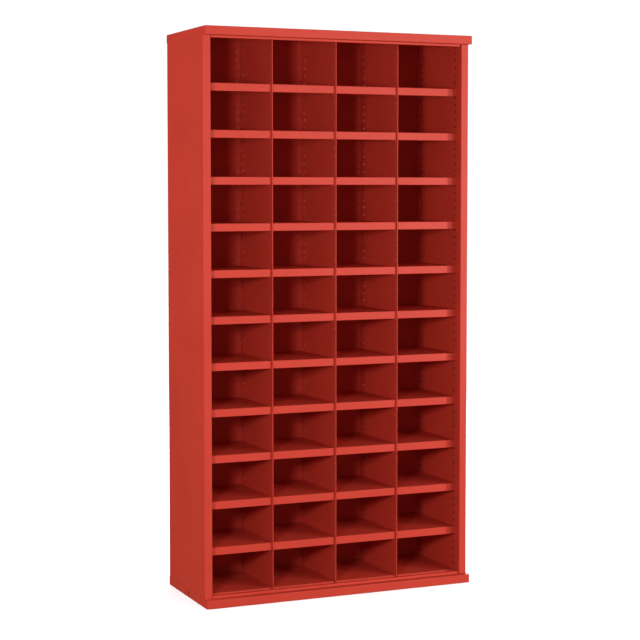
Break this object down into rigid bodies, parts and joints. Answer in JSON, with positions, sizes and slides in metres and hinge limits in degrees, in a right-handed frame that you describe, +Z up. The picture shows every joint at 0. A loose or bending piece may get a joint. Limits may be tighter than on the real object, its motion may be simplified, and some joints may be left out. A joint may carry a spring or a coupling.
{
  "type": "pigeonhole mail sorter",
  "caption": "Tall open-fronted red steel cabinet divided into rows and columns of pigeonholes by folded uprights and clip-in shelves, for sorting mail.",
  "frame": {"origin": "centre of the underside of the base, on the floor", "axes": "+Z up, the open front faces -Y, +X to the right of someone looking at the front"},
  "size_m": [0.9522, 0.382, 1.86],
  "materials": {
    "red_powder_coat": "semi-gloss red powder coat on folded sheet steel"
  },
  "bodies": {
    "root": {"base_tray": "red_powder_coat", "top_lid": "red_powder_coat", "left_side": "red_powder_coat", "left_liner": "red_powder_coat", "right_side": "red_powder_coat", "right_liner": "red_powder_coat", "back_panel": "red_powder_coat", "bottom_rail": "red_powder_coat", "top_rail": "red_powder_coat", "divider_1": "red_powder_coat", "divider_2": "red_powder_coat", "divider_3": "red_powder_coat", "shelf_c1_r1": "red_powder_coat", "shelf_c1_r2": "red_powder_coat", "shelf_c1_r3": "red_powder_coat", "shelf_c1_r4": "red_powder_coat", "shelf_c1_r5": "red_powder_coat", "shelf_c1_r6": "red_powder_coat", "shelf_c1_r7": "red_powder_coat", "shelf_c1_r8": "red_powder_coat", "shelf_c1_r9": "red_powder_coat", "shelf_c1_r10": "red_powder_coat", "shelf_c1_r11": "red_powder_coat", "shelf_c1_r12": "red_powder_coat", "shelf_c2_r1": "red_powder_coat", "shelf_c2_r2": "red_powder_coat", "shelf_c2_r3": "red_powder_coat", "shelf_c2_r4": "red_powder_coat", "shelf_c2_r5": "red_powder_coat", "shelf_c2_r6": "red_powder_coat", "shelf_c2_r7": "red_powder_coat", "shelf_c2_r8": "red_powder_coat", "shelf_c2_r9": "red_powder_coat", "shelf_c2_r10": "red_powder_coat", "shelf_c2_r11": "red_powder_coat", "shelf_c2_r12": "red_powder_coat", "shelf_c3_r1": "red_powder_coat", "shelf_c3_r2": "red_powder_coat", "shelf_c3_r3": "red_powder_coat", "shelf_c3_r4": "red_powder_coat", "shelf_c3_r5": "red_powder_coat", "shelf_c3_r6": "red_powder_coat", "shelf_c3_r7": "red_powder_coat", "shelf_c3_r8": "red_powder_coat", "shelf_c3_r9": "red_powder_coat", "shelf_c3_r10": "red_powder_coat", "shelf_c3_r11": "red_powder_coat", "shelf_c3_r12": "red_powder_coat", "shelf_c4_r1": "red_powder_coat", "shelf_c4_r2": "red_powder_coat", "shelf_c4_r3": "red_powder_coat", "shelf_c4_r4": "red_powder_coat", "shelf_c4_r5": "red_powder_coat", "shelf_c4_r6": "red_powder_coat", "shelf_c4_r7": "red_powder_coat", "shelf_c4_r8": "red_powder_coat", "shelf_c4_r9": "red_powder_coat", "shelf_c4_r10": "red_powder_coat", "shelf_c4_r11": "red_powder_coat", "shelf_c4_r12": "red_powder_coat"}
  },
  "joints": []
}
